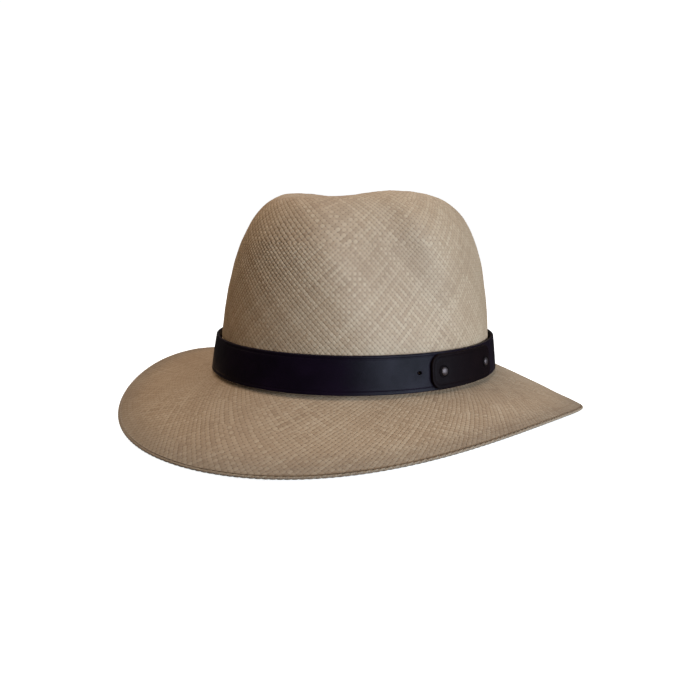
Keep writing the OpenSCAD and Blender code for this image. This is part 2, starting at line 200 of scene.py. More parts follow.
def woven_toquilla():
    """Bleached toquilla palm, split and woven over one, under one: flat matt ribbons with fine lengthwise
    fibres, each strand its own tone, painted shade along the joins between ribbons, and painted shade in a
    small gap at each corner where four ribbons meet. The weave map counts strands: u is the strand of one lay
    and v of the other, so ribbons cross at whole numbers. The open attribute is 1 on the nose, where pressing
    the pinches has drawn the ribbons apart, and the edge attribute is 1 at the brim's edge, which is mixed
    towards a grey-brown."""
    mat, t = new_material("woven_toquilla_straw")
    uv = add(t, "SeparateXYZ", {0: add(t, "UVMap", uv_map="weave")})
    u, v = uv.outputs[0], uv.outputs[1]
    strand_u = add(t, "Math", {0: u}, operation="ROUND")
    strand_v = add(t, "Math", {0: v}, operation="ROUND")
    off_u = add(t, "Math", {0: u, 1: strand_u}, operation="SUBTRACT")
    off_v = add(t, "Math", {0: v, 1: strand_v}, operation="SUBTRACT")
    crossing = add(t, "Math", {0: strand_u, 1: strand_v}, operation="ADD")
    over = add(t, "Math", {0: crossing, 1: 2.0}, operation="FLOORED_MODULO")
    across = add(t, "Mix", {0: over, 2: off_u, 3: off_v})
    along = add(t, "Mix", {0: over, 2: off_v, 3: off_u})
    strand = add(t, "Mix", {0: over, 2: strand_u, 3: strand_v})
    travel = add(t, "Mix", {0: over, 2: v, 3: u})
    # ribbon: flat across with fallen edges, arched along where it rides over its neighbour
    edge = add(t, "Math", {0: across, 1: 2.0}, operation="MULTIPLY")
    edge = add(t, "Math", {0: edge, 1: 2.0}, operation="POWER")
    edge = add(t, "Math", {0: edge, 1: edge}, operation="MULTIPLY")
    arch = add(t, "Math", {0: along, 1: np.pi}, operation="MULTIPLY")
    arch = add(t, "Math", {0: arch}, operation="COSINE")
    lift = add(t, "Math", {0: edge, 1: -0.7, 2: arch}, operation="MULTIPLY_ADD")
    # lengthwise fibres, about 0.2 mm apart
    fibre_at = add(t, "CombineXYZ", {
        0: add(t, "Math", {0: across, 1: 9.0, 2: strand}, operation="MULTIPLY_ADD"),
        1: add(t, "Math", {0: travel, 1: 0.35}, operation="MULTIPLY"),
        2: add(t, "Math", {0: over, 1: 31.0}, operation="MULTIPLY")})
    fibre = add(t, "TexNoise", {"Vector": fibre_at, "Scale": 1.0, "Detail": 2.0, "Roughness": 0.6})
    height = add(t, "Math", {0: fibre, 1: 0.35, 2: lift}, operation="MULTIPLY_ADD")
    # the relief is three times as deep where the ribbons are drawn apart
    drawn = add(t, "Attribute", attribute_name="open").outputs["Fac"]
    deeper = add(t, "Math", {0: drawn, 1: 1.6, 2: 0.8}, operation="MULTIPLY_ADD")
    height = add(t, "Math", {0: height, 1: deeper}, operation="MULTIPLY")
    # gaps where four ribbons meet, which take painted shade
    gap = add(t, "Math", {0: off_u, 1: off_v}, operation="MULTIPLY")
    gap = add(t, "Math", {0: gap, 1: 4.0}, operation="MULTIPLY")
    gap = add(t, "Math", {0: gap}, operation="ABSOLUTE")
    gap = add(t, "MapRange", {0: gap, 1: 0.45, 2: 0.95}, interpolation_type="SMOOTHSTEP")
    side = add(t, "MapRange", {0: edge, 1: 0.3, 2: 1.0}, interpolation_type="SMOOTHSTEP")
    # tones: each strand its own, with slow changes along it, and patches about 45 mm across over the hat
    own = add(t, "CombineXYZ", {0: strand, 1: over})
    own = add(t, "TexWhiteNoise", {"Vector": own}, noise_dimensions="2D")
    slow_at = add(t, "CombineXYZ", {
        0: add(t, "Math", {0: strand, 1: 5.3}, operation="MULTIPLY"),
        1: add(t, "Math", {0: travel, 1: 0.06}, operation="MULTIPLY"),
        2: over})
    slow = add(t, "TexNoise", {"Vector": slow_at, "Scale": 1.0, "Detail": 2.0})
    broad = add(t, "TexNoise", {"Vector": add(t, "TexCoord").outputs["Object"], "Scale": 22.0, "Detail": 3.0})
    tone = add(t, "Math", {0: slow, 1: 0.42}, operation="MULTIPLY")
    tone = add(t, "Math", {0: own, 1: 0.15, 2: tone}, operation="MULTIPLY_ADD")
    tone = add(t, "Math", {0: broad, 1: 0.3, 2: tone}, operation="MULTIPLY_ADD")
    tone = add(t, "Math", {0: fibre, 1: 0.2, 2: tone}, operation="MULTIPLY_ADD")
    straw = add(t, "ValToRGB", {0: tone}, stops=[
        (0.24, "#8f7259"), (0.49, "#ad8f73"), (0.64, "#bca084"), (0.89, "#cdb397")])
    # painted shade along the join beside a strand: darker in one lay than in the other as if lit from one
    # side, from strand to strand, and in patches
    lay = add(t, "MapRange", {0: over, 3: 0.68, 4: 0.3})
    lay = add(t, "Math", {0: drawn, 1: 0.9, 2: lay}, operation="MULTIPLY_ADD")
    join_shade_patches = add(t, "MapRange", {0: broad, 1: 0.38, 2: 0.62, 3: 0.5, 4: 1.5})
    join = add(t, "MapRange", {0: own, 3: 0.3, 4: 1.3})
    join = add(t, "Math", {0: join, 1: lay}, operation="MULTIPLY")
    join = add(t, "Math", {0: join, 1: join_shade_patches}, operation="MULTIPLY", use_clamp=True)
    join = add(t, "Math", {0: side, 1: join}, operation="MULTIPLY")
    # the painted shade of the joins, a darker straw brown
    colour = add(t, "Mix", {0: join, 6: straw.outputs[0], 7: srgb("#755538")}, data_type="RGBA")
    # painted shade in the gaps where four ribbons meet, darker where the ribbons are drawn apart
    through = add(t, "Math", {0: drawn, 1: 0.3, 2: 0.6}, operation="MULTIPLY_ADD")
    through = add(t, "Math", {0: gap, 1: through}, operation="MULTIPLY")
    colour = add(t, "Mix", {0: through, 6: colour.outputs[2], 7: srgb("#452e1d")}, data_type="RGBA")
    # the straw mixed towards a grey-brown at the brim's edge
    greyed_edge = add(t, "Attribute", attribute_name="edge").outputs["Fac"]
    greyed_edge = add(t, "Math", {0: greyed_edge, 1: 0.45}, operation="MULTIPLY")
    colour = add(t, "Mix", {0: greyed_edge, 6: colour.outputs[2], 7: srgb("#685d53")}, data_type="RGBA")
    rough = add(t, "MapRange", {0: fibre, 3: 0.5, 4: 0.7})
    return finish_of(mat, colour.outputs[2], height, 0.16, rough, Specular_IOR_Level=0.42)


def grained_leather(name, deep, high, worn, pore, rough, depth, shine):
    """Drum-dyed calf, or sheepskin for the sweatband, with a smooth pigmented finish: cells of grain about
    pore mm across, a soft satin gloss in waves about 14 mm long, and cut edges where the dye has rubbed. The
    edge attribute is 1 on a cut edge."""
    mat, t = new_material(name)
    spot = add(t, "TexCoord").outputs["Object"]
    bend = add(t, "TexNoise", {"Vector": spot, "Scale": 900 / pore, "Detail": 2.0})
    warp = add(t, "Mix", {0: 0.0006, 4: spot, 5: bend.outputs[1]}, data_type="VECTOR")
    cell = add(t, "TexVoronoi", {"Vector": warp.outputs[1], "Scale": 1000 / pore}, feature="DISTANCE_TO_EDGE")
    cell = add(t, "MapRange", {0: cell, 2: 0.28}, interpolation_type="SMOOTHSTEP")
    wave = add(t, "TexNoise", {"Vector": spot, "Scale": 70.0, "Detail": 4.0, "Roughness": 0.55})
    height = add(t, "Math", {0: wave, 1: 1.6, 2: cell}, operation="MULTIPLY_ADD")
    patch = add(t, "MapRange", {0: wave, 1: 0.3, 2: 0.7})
    dye = add(t, "Mix", {0: patch, 6: srgb(deep), 7: srgb(high)}, data_type="RGBA")
    edge = add(t, "Attribute", attribute_name="edge").outputs["Fac"]
    rubbed = add(t, "MapRange", {0: bend, 1: 0.35, 2: 0.65, 3: 0.35, 4: 1.0})
    rubbed = add(t, "Math", {0: edge, 1: rubbed}, operation="MULTIPLY")
    colour = add(t, "Mix", {0: rubbed, 6: dye.outputs[2], 7: srgb(worn)}, data_type="RGBA")
    gloss = add(t, "MapRange", {0: wave, 1: 0.3, 2: 0.7, 3: rough + 0.07, 4: rough - 0.05})
    return finish_of(mat, colour.outputs[2], height, depth, gloss, Specular_IOR_Level=shine)


def dull_pewter():
    """Cast cap with an aged pewter plating: grey metal with a warm cast in clouds 1 mm across, lightest on
    the dome and darkened by painted shade in the rim's groove and on the rim. The edge attribute is 1 in the
    rim's groove."""
    mat, t = new_material("aged_pewter")
    spot = add(t, "TexCoord").outputs["Object"]
    cloud = add(t, "TexNoise", {"Vector": spot, "Scale": 900.0, "Detail": 4.0})
    groove = add(t, "Attribute", attribute_name="edge").outputs["Fac"]
    # the clouds' own tone plus painted shade in the groove and on the rim
    tone_and_groove_shade = add(t, "Math", {0: cloud, 1: 0.35, 2: groove}, operation="MULTIPLY_ADD")
    colour = add(t, "ValToRGB", {0: tone_and_groove_shade}, stops=[(0.1, "#5f5453"), (0.45, "#3c3333"), (1.0, "#130f11")])
    rough = add(t, "MapRange", {0: tone_and_groove_shade, 3: 0.46, 4: 0.75})
    return finish_of(mat, colour.outputs[0], cloud, 0.03, rough, Metallic=1.0)


def spun_cotton(name, light, dark, rise, rough):
    """Twisted cotton, or a waxed thread for the tacks: two plies that show as slanting light and dark bands,
    dark where the bump is low as painted shade between the plies, soft and matt with a little fuzz. Its weave
    map counts
    plies: u goes round and v along the thread."""
    mat, t = new_material(name)
    at = add(t, "UVMap", uv_map="weave")
    wave = add(t, "TexWave", {"Vector": at, "Scale": 1.0, "Distortion": 0.6, "Detail": 1.0},
               bands_direction="DIAGONAL")
    fuzz = add(t, "TexNoise", {"Vector": at, "Scale": 9.0, "Detail": 3.0})
    tone = add(t, "Math", {0: wave, 1: 0.6}, operation="MULTIPLY")
    tone = add(t, "Math", {0: fuzz, 1: 0.4, 2: tone}, operation="MULTIPLY_ADD")
    # the colour follows the bump's height: painted shade in the grooves between the plies, with fuzz
    colour = add(t, "ValToRGB", {0: tone}, stops=[(0.15, dark), (0.8, light)])
    return finish_of(mat, colour.outputs[0], tone, rise, rough, Sheen_Weight=0.15)


straw_finish = woven_toquilla()
band_finish = grained_leather("black_calf_leather", "#0c060e", "#150c18", "#1c121d",
                              pore=0.9, rough=0.36, depth=0.02, shine=0.06)
tab_finish = grained_leather("dark_brown_calf_leather", "#0d0608", "#130a0c", "#1a1010",
                             pore=0.8, rough=0.5, depth=0.025, shine=0.04)
sweat_finish = grained_leather("vegetable_tanned_sheepskin", "#9a7650", "#b08c62", "#8a6540",
                               pore=0.9, rough=0.58, depth=0.06, shine=0.3)
pewter_finish = dull_pewter()
thread_finish = spun_cotton("twisted_cotton_thread", "#e6d9bd", "#a9946f", rise=0.04, rough=0.75)
reed_finish = spun_cotton("cotton_bound_reed", "#c4aa80", "#8d7550", rise=0.08, rough=0.85)
tape_finish = spun_cotton("ribbed_cotton_tape", "#a98a62", "#75593a", rise=0.08, rough=0.85)
tack_finish = spun_cotton("waxed_polyester_thread", "#3a302a", "#1c1613", rise=0.03, rough=0.5)


# ---- shapes of the hat


def ease(low, high, x):
    """0 below low, 1 above high, and 3t^2 - 2t^3 between."""
    t = np.clip((x - low) / (high - low), 0, 1)
    return t * t * (3 - 2 * t)


def unit(vectors):
    """The same directions, each 1 long."""
    return vectors / np.linalg.norm(vectors, axis=-1, keepdims=True)


def pinch(a, z, side):
    """How far a front pinch pulls in, as a share of the radius: its depth times exp(-|off / reach|^flatness -
    |up / fade out|^fade), where off is the angle from its middle, which slants to the side lower down, and up
    is the height from its deepest place."""
    middle = -90 + side * (PINCH_ANGLE + (PINCH_SLANT_Z - z) * PINCH_SLANT)
    off = side * ((a - middle + 180) % 360 - 180)
    off = off / np.where(off > 0, PINCH_SIDE, PINCH_NOSE)
    up = (z - PINCH_HEIGHT) / np.where(z > PINCH_HEIGHT, PINCH_UP, PINCH_DOWN)
    return PINCH_DEPTH * np.exp(-(np.abs(off) ** PINCH_FLATNESS) - np.abs(up) ** PINCH_FADE)


def dent(x, y, zs):
    """Depth of the dent along the top: a flat-floored trough that eases in at the front and back."""
    start, full, off, end = DENT_Y
    share = ease(start, full, y / HALF_LENGTH) * (1 - ease(off, end, y / HALF_LENGTH))
    return DENT_DEPTH * np.exp(-(np.abs(x / DENT_HALF_WIDTH) ** DENT_POWER)) * share * ease(*DENT_RISE, zs)


def crown(a, rs, zs, inset=0.0):
    """A point of the crown at angle a, share rs of the radius and share zs of the height: an oval that
    narrows and leans forward with height, drawn in by the two pinches and lowered by the dent. Its top slopes
    down to the back and up to the wearer's left."""
    z = (CROWN - inset) * zs
    scale = rs * (1 - TAPER * zs)
    x = (HALF_WIDTH - inset) * scale * np.cos(np.radians(a))
    y = (HALF_LENGTH - inset) * scale * np.sin(np.radians(a)) - LEAN * zs * zs
    kept = (1 - pinch(a, z, 1)) * (1 - pinch(a, z, -1))
    x, y = x * kept, y * kept
    slope = (SKEW * x / HALF_WIDTH - FALL * y / HALF_LENGTH) * zs * zs
    return np.stack([x, y, z - dent(x, y, zs) + slope], -1)


def wall(a, z, inset=0.0):
    """A point of the crown's side at height z: rs^(2/ROUND) + zs^(2/RISE) = 1."""
    zs = np.clip(z / (CROWN - inset), 0, 1)
    return crown(a, (1 - zs ** (2 / RISE)) ** (ROUND / 2), zs, inset)


def oval_table():
    """Shares of the way round the head oval and the angles there, so that strands keep one spacing."""
    a = np.linspace(0, 360, 3601)
    step = np.hypot(HALF_WIDTH * np.sin(np.radians(a)), HALF_LENGTH * np.cos(np.radians(a)))
    run = np.concatenate([[0], np.cumsum((step[1:] + step[:-1]) / 2)])
    return run / run[-1], a


ROUND_SHARES, ROUND_ANGLES = oval_table()


def even(share):
    """The angle at a share of the way round the head oval."""
    return np.interp(share % 1, ROUND_SHARES, ROUND_ANGLES) + 360 * np.floor(share)


def meridian(low, shoulder=0.86):
    """The crown's profile from height low to its top: run in mm, mean radius, rs and zs. It goes by height up
    to the shoulder, a share of the height, and then by radius."""
    zs = np.linspace(low / CROWN, shoulder, 500)
    rs = (1 - zs ** (2 / RISE)) ** (ROUND / 2)
    top = np.linspace(rs[-1], 0, 900)[1:]
    rs = np.concatenate([rs, top])
    zs = np.concatenate([zs, (1 - top ** (2 / ROUND)) ** (RISE / 2)])
    radius = MEAN_RADIUS * rs * (1 - TAPER * zs)
    run = np.concatenate([[0], np.cumsum(np.hypot(np.diff(radius), CROWN * np.diff(zs)))])
    return run, radius, rs, zs


RUN, RADIUS, RS, ZS = meridian(CROWN_FROM)


def crown_skin(share, run):
    """The crown's outside, run mm up its profile from CROWN_FROM."""
    return crown(even(share), np.interp(run, RUN, RS), np.interp(run, RUN, ZS))


def brim_skin(share, out):
    """The brim's top, out mm from the crown: the head oval plus its normal times out, falling by drop times
    (STRAIGHT u + CURL u^2), with a slight hollow. The drop is a sum of cosines of once to four times f, the
    angle from the front."""
    a = np.radians(even(share))
    x, y = HALF_WIDTH * np.cos(a), HALF_LENGTH * np.sin(a)
    n = unit(np.stack([np.cos(a) / HALF_WIDTH, np.sin(a) / HALF_LENGTH], -1))
    f = a + np.pi / 2
    u = out / BRIM
    width = (BRIM - BRIM_WIDTH_SWEEP * np.cos(2 * f)) * u
    drop = DROP - BACK_DROP * np.cos(f) + SWEEP * np.cos(2 * f) + SNAP * np.cos(3 * f) - WAVE * np.cos(4 * f)
    fall = drop * (STRAIGHT * u + CURL * u * u) + HOLLOW * 4 * u * (1 - u)
    return np.stack([x + n[..., 0] * width, y + n[..., 1] * width, -fall], -1)


def raised(skin, share, run, out):
    """Points of a skin moved out mm along its normal, the cross product of its slopes round and up."""
    round_by, up_by = 2e-4, 0.15
    around = skin(share + round_by, run) - skin(share - round_by, run)
    up = skin(share, run + up_by) - skin(share, run - up_by)
    normal = np.cross(around, up)
    normal /= np.linalg.norm(normal, axis=-1, keepdims=True) + 1e-12
    return skin(share, run) + normal * np.asarray(out)[..., None]


# ---- meshes


def put(name, points, faces, finish, slot, node, uv=(), merge=None, **marks):
    """The piece that stands for a CAD node, from points in mm and one or more arrays of faces. Its weave map
    covers the first faces, and the rest are plain. Each mark is an attribute, such as edge, with a value for
    every point. Points within merge mm become one."""
    mesh = bpy.data.meshes.new(name)
    arrays = faces if isinstance(faces, list) else [faces]
    sizes = np.concatenate([np.full(len(f), f.shape[1]) for f in arrays])
    corners = np.concatenate([f.ravel() for f in arrays]).astype(np.int32)
    mesh.vertices.add(points.size // 3)
    mesh.vertices.foreach_set("co", (points / 1000).astype(np.float32).ravel())
    mesh.loops.add(len(corners))
    mesh.loops.foreach_set("vertex_index", corners)
    mesh.polygons.add(len(sizes))
    mesh.polygons.foreach_set("loop_start", np.concatenate([[0], np.cumsum(sizes)[:-1]]).astype(np.int32))
    mesh.update(calc_edges=True)
    mesh.shade_smooth()
    if len(uv):
        covered = np.zeros(2 * len(corners), np.float32)
        covered[: uv.size] = uv.ravel()
        mesh.uv_layers.new(name="weave").data.foreach_set("uv", covered)
    for mark, values in marks.items():
        attribute = mesh.attributes.new(mark, "FLOAT", "POINT")
        attribute.data.foreach_set("value", np.asarray(values, np.float32).ravel())
    if merge:
        b = bmesh.new()
        b.from_mesh(mesh)
        bmesh.ops.remove_doubles(b, verts=b.verts, dist=merge / 1000)
        b.to_mesh(mesh)
        b.free()
    mesh.validate()
    mesh.materials.append(finish)
    piece = bpy.data.objects.new(name, mesh)
    bpy.context.scene.collection.objects.link(piece)
    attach(piece, "root")
    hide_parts(node)
    return piece


def swept(round_points, profile_size, closed_round=False, closed_profile=True):
    """Quads of a grid of round_points rings with profile_size points each."""
    rings = np.arange(round_points if closed_round else round_points - 1)
    places = np.arange(profile_size if closed_profile else profile_size - 1)
    i, k = np.meshgrid(rings, places, indexing="ij")
    a, b = i * profile_size, (i + 1) % round_points * profile_size
    k2 = (k + 1) % profile_size
    return np.stack([a + k, b + k, b + k2, a + k2], -1).reshape(-1, 4)


def swept_map(rings, places, place_step, ring_step):
    """The weave map of swept quads, which goes on by place_step round the profile and by ring_step along."""
    i, k = np.meshgrid(np.arange(rings), np.arange(places), indexing="ij")
    corners = ((i, k), (i + 1, k), (i + 1, k + 1), (i, k + 1))
    return np.stack([np.stack([b * place_step, a * ring_step], -1) for a, b in corners], -2).reshape(-1, 4, 2)


def strand_map(corners):
    """The weave map at corners (quarter step i, ring j): strands (i + j) / 4 and (i - j) / 4."""
    return np.stack([np.stack([(i + j) / 4, (i - j) / 4], -1) for i, j in corners], -2)


def zipped(na, oa, nb, ob):
    """Triangles between two rings of evenly spaced points, ring A of na points that start at oa steps and
    ring B of nb at ob. Each new point in turn joins the one before it to the last point passed on the other
    ring. Returns (before, new, other) numbers, not wrapped, for A and for B."""
    k = np.arange(na)
    other = np.ceil((k + oa) / na * nb - ob - 1e-9).astype(int) - 1
    m = np.arange(nb)
    passed = np.floor((m + ob) / nb * na - oa + 1e-9).astype(int)
    return (k - 1, k, other), (m - 1, m, passed)


def closing(ring_a, ring_b, base_a, base_b):
    """Triangles between two whole rings, each (points, start in steps), from their first points' numbers."""
    (na, oa), (nb, ob) = ring_a, ring_b
    (p, q, r), (s, t, o) = zipped(na, oa, nb, ob)
    return np.concatenate([
        np.stack([base_a + p % na, base_a + q % na, base_b + r % nb], -1),
        np.stack([base_b + s % nb, base_a + o % na, base_b + t % nb], -1)])


class Net:
    """A net of two lays of strands that cross on the diagonal. A ring has 2 points for each strand of a lay,
    and odd rings stand half a step on, so the points are crossings, gaps and places between those. share is
    the way round and run the way up, knot is 1 on a crossing, -1 in a gap and 0 between, and last is the last
    ring: its points, its start in steps, its first point's number and its own number."""

    def __init__(self, zones):
        self.share, self.run, self.knot, self.tris, self.uv = [], [], [], [], []
        self.last = None
        count = 0
        for strands, rows in zones:
            n, rings, first = 2 * strands, len(rows), count
            j, k = np.meshgrid(np.arange(rings), np.arange(n), indexing="ij")
            i = 2 * k + j % 2
            self.share.append((i / (2 * n)).ravel())
            self.run.append(np.repeat(rows, n))
            self.knot.append(np.where(j % 2 == 1, 0, np.where((i - j) % 4 == 0, 1, -1)).ravel())
            if self.last:
                self.join(self.last, (n, 0.0, first))
            j, k = j[:-1], k[:-1]
            odd = j % 2
            # (ring, number) of the four corners, two triangles each
            self.fill(n, first, [(j, k), (j, k + 1), (j + 1, k + odd)])
            self.fill(n, first, [(j + 1, k), (j, k + 1 - odd), (j + 1, k + 1)])
            count += n * rings
            self.last = (n, (rings - 1) % 2 / 2, first + (rings - 1) * n, rings - 1)
        self.share, self.run = np.concatenate(self.share), np.concatenate(self.run)
        self.knot = np.concatenate(self.knot)

    def fill(self, n, first, corners):
        """Triangles inside a zone, from unwrapped (ring, number) corners."""
        self.tris.append(np.stack([first + j * n + k % n for j, k in corners], -1).reshape(-1, 3))
        self.uv.append(strand_map([(2 * k + j % 2, j) for j, k in corners]).reshape(-1, 3, 2))

    def join(self, low, high):
        """Triangles between the last ring of one zone and the first of the next, mapped as the lower zone."""
        na, oa, base_a, ring = low
        nb, ob, base_b = high

        def on_low(k):
            return base_a + k % na, 2 * (k + oa), ring

        def on_high(m):
            return base_b + m % nb, 2 * (m + ob) * na / nb, ring + 1

        (p, q, r), (s, t, o) = zipped(na, oa, nb, ob)
        for trio in ((on_low(p), on_low(q), on_high(r)), (on_high(s), on_low(o), on_high(t))):
            self.tris.append(np.stack([point for point, _, _ in trio], -1))
            self.uv.append(strand_map([(i, j) for _, i, j in trio]))


def net_rows(run, radius, zones):
    """Rows for each (strands, run it ends at). Rings stand a quarter of the strands' spacing apart, so that
    the cells stay square: the steps are even in w, the sum of d(run) / radius."""
    w = np.concatenate([[0], np.cumsum(2 * np.diff(run) / (radius[1:] + radius[:-1]).clip(0.02))])
    found, at = [], 0.0
    for strands, end in zones:
        stop = np.interp(end, run, w)
        rings = max(2, int(round((stop - at) / (np.pi / (2 * strands)))))
        found.append((strands, np.interp(at + (stop - at) * np.arange(rings) / rings, w, run)))
        at = stop
    return found


def relief(net, high, low):
    """Height of the weave at each point: high mm on a crossing and low mm down in a gap, each a third more or
    less by chance, on a slow unevenness of 0.2 mm that the blocking leaves: three crossed waves."""
    luck = 1 + 0.35 * chance.uniform(-1, 1, len(net.knot))
    turn, run = 2 * np.pi * net.share, net.run
    slow = np.sin(7 * turn + run / 9) * np.sin(run / 11 + 2 * np.sin(3 * turn))
    slow = slow + 0.6 * np.sin(19 * turn - run / 5 + 1) + 0.5 * np.sin(31 * turn + run / 3.1)
    return np.where(net.knot > 0, high, np.where(net.knot < 0, -low, 0.0)) * luck + 0.1 * slow


# ---- the straw


def crown_net(strands, stands_for):
    """The crown's net, each of whose strands stands for so many real ones. They grow fewer towards the top,
    as the weaver adds them from the centre: a zone ends where its strands come too close."""
    zones = []
    while strands * stands_for > FEWEST:
        has_room = RADIUS > max(strands * stands_for * CLOSEST, TIP_RADIUS)
        zones.append((strands, RUN[has_room][-1]))
        strands = int(round(strands / FEWER))
    return Net(net_rows(RUN, RADIUS, zones))


def crown_shell(net, lift):
    """Points, triangles and map of the crown with lift mm of relief, closed at the middle of its top."""
    points = raised(crown_skin, net.share, np.minimum(net.run, RUN[-1] - 0.2), lift)
    n, _, base, ring = net.last
    k = np.arange(n)
    cap = np.stack([base + k, base + (k + 1) % n, np.full(n, len(points))], -1)
    cap_map = strand_map([(2 * k, ring), (2 * k + 2, ring), (2 * k + 1, ring)])
    top = crown(np.zeros(1), np.zeros(1), np.ones(1)) + [0, 0, lift[-1]]
    return np.concatenate([points, top]), np.concatenate(net.tris + [cap]), np.concatenate(net.uv + [cap_map])


def straw_crown():
    """The crown above the strap as a shell: the outside is a raised net, twice as deep on the nose, and the
    inside is a plain net of half the strands. The nose is exp(-(off / reach)^2 - (up / reach)^2), with off
    the angle from the front."""
    net = crown_net(CROWN_STRANDS, 1)
    off = (even(net.share) + 90 + 180) % 360 - 180
    up = CROWN * np.interp(net.run, RUN, ZS) - NOSE_HEIGHT
    drawn = np.exp(-((off / NOSE_REACH) ** 2) - (up / NOSE_REACH) ** 2)
    outer, outer_tris, outer_uv = crown_shell(net, relief(net, 0.11, 0.2) * (1 + drawn))
    net = crown_net(CROWN_STRANDS // 2, 2)
    inner, inner_tris, inner_uv = crown_shell(net, np.full(len(net.run), -STRAW))
    base = len(outer)
    rim = closing((CROWN_STRANDS, 0.0), (2 * CROWN_STRANDS, 0.0), base, 0)
    tris = np.concatenate([outer_tris, inner_tris[:, ::-1] + base, rim])
    uv = np.concatenate([outer_uv, inner_uv[:, ::-1] * 2])
    put("straw_crown", np.concatenate([outer, inner]), tris, straw_finish, "straw", "straw_body", uv,
        open=np.concatenate([drawn, np.zeros(1 + len(inner))]))


def straw_brim():
    """The brim, both faces raised nets that gain strands outwards, with the last 7 mm woven back double in
    cords 2.1 mm apart, and behind the strap a plain collar that carries it up to the crown."""
    run = np.linspace(0, BRIM, 400)
    net = Net(net_rows(run, MEAN_RADIUS + run, BRIM_ZONES))
    double = ease(BRIM - 8.5, BRIM - 6.5, net.run)
    cords = 0.07 * np.cos((BRIM - net.run) / 2.1 * 2 * np.pi) * double
    top = raised(brim_skin, net.share, net.run, -(relief(net, 0.12, 0.2) + 0.18 * double + cords))
    under = raised(brim_skin, net.share, net.run, STRAW + relief(net, 0.11, 0.19) + 0.1 * double + cords)
    tris, uv = np.concatenate(net.tris), np.concatenate(net.uv)
    base = len(top)
    n, start_at, last, _ = net.last
    lip = closing((n, start_at), (n, start_at), last, last + base)
    # the collar: rings up the outside and down the inside, on the same shares as the brim's first ring
    count = 2 * BRIM_ZONES[0][0]
    angles = even(np.arange(count) / count)
    heights = (1.0, 6.0, 13.0, CROWN_FROM - 0.4)
    rings = [wall(angles, np.full(count, z)) for z in heights]
    rings += [wall(angles, np.full(count, z), STRAW) for z in heights[::-1]]
    starts = [0] + [2 * base + count * number for number in range(len(rings))] + [base]
    collar = [closing((count, 0.0), (count, 0.0), a, b) for a, b in zip(starts[:-1], starts[1:])]
    points = np.concatenate([top, under] + rings)
    faces = np.concatenate([tris[:, ::-1], tris + base, lip] + collar)
    # greyer towards the brim's edge, rising over the last 30 mm
    greyed_edge = 0.17 + 0.83 * ease(BRIM - 30, BRIM, net.run) ** 2
    put("straw_brim", points, faces, straw_finish, "straw", "straw_body", np.concatenate([uv[:, ::-1], uv]),
        edge=np.concatenate([greyed_edge, greyed_edge, np.zeros(len(points) - 2 * base)]))


def straw_rim():
    """The braided edge: two plies of straw turned round each other, 1.7 mm thick, so that a cut across is two
    overlapping rounds, radius ply + overlap |cos|, that turn once in 7 mm."""
    steps, sides, turns = 1500, 12, 142
    ply, overlap = 0.64, 0.21
    share, side = np.meshgrid(np.arange(steps) / steps, np.arange(sides) / sides, indexing="ij")
    turn = 2 * np.pi * (side + share * turns)
    size = ply + overlap * np.abs(np.cos(2 * np.pi * side))

    def near_edge(past, below):
        """Points past mm beyond the rim's middle and below mm under the brim's top."""
        at = BRIM - ply - overlap + past
        return raised(brim_skin, share, np.full_like(share, at), np.full_like(share, below))

    centre = near_edge(0, STRAW / 2)
    out = near_edge(1, STRAW / 2) - centre
    up = centre - near_edge(0, STRAW / 2 + 1)
    points = centre + (out * np.cos(turn)[..., None] + up * np.sin(turn)[..., None]) * size[..., None]
    put("straw_rim", points, swept(steps, sides, closed_round=True), straw_finish, "straw", "straw_body",
        swept_map(steps, sides, 2 / sides, 0.55), edge=np.ones(steps * sides))


# ---- the strap and the tab


def strap_point(a, off, z):
    """A point off mm out from the strap's inner face, at angle a and height z. It leans in to its top."""
    out = BAND_GAP + off + BAND_FLARE * (TAB_Z - z) / (BAND_HIGH - BAND_LOW)
    x = (HALF_WIDTH + out) * np.cos(np.radians(a))
    y = (HALF_LENGTH + out) * np.sin(np.radians(a))
    return np.stack([x, y, z], -1)


def strap_normal(a, off):
    """Directions out of the strap and along it, at angle a and off mm out from its inner face."""
    out = unit(np.array([np.cos(np.radians(a)) / (HALF_WIDTH + BAND_GAP + off),
                         np.sin(np.radians(a)) / (HALF_LENGTH + BAND_GAP + off), 0]))
    along = np.array([-out[1], out[0], 0])
    tilt = np.arctan2(BAND_FLARE, BAND_HIGH - BAND_LOW)
    return out * np.cos(tilt) + np.array([0, 0, np.sin(tilt)]), along


def leather_section(half, thick, corner, line):
    """A strip's cross-section as (off, height) from its middle, outer face first: rounded corners, a slight
    swell, and on the outer face a pressed line that many mm in from each edge, 0.2 mm deep."""
    turn = np.radians(np.linspace(0, 90, 6))
    face = np.linspace(-half + corner, half - corner, 60)[1:-1]
    near = np.abs(np.abs(face) - (half - line))
    off = thick - 0.22 * np.exp(-((near / 0.42) ** 2)) + 0.06 * (1 - (face / half) ** 2)
    low = np.stack([thick - corner + corner * np.sin(turn), -half + corner - corner * np.cos(turn)], -1)
    high = np.stack([thick - corner + corner * np.cos(turn), half - corner + corner * np.sin(turn)], -1)
    # the inner face, with its two edges cut off at a slant
    back = [[0.0, height] for height in (half - 0.35, half / 2, 0, -half / 2, 0.35 - half)]
    return np.concatenate([[[0.3, -half]], low, np.stack([off, face], -1), high, [[0.3, half]], back])


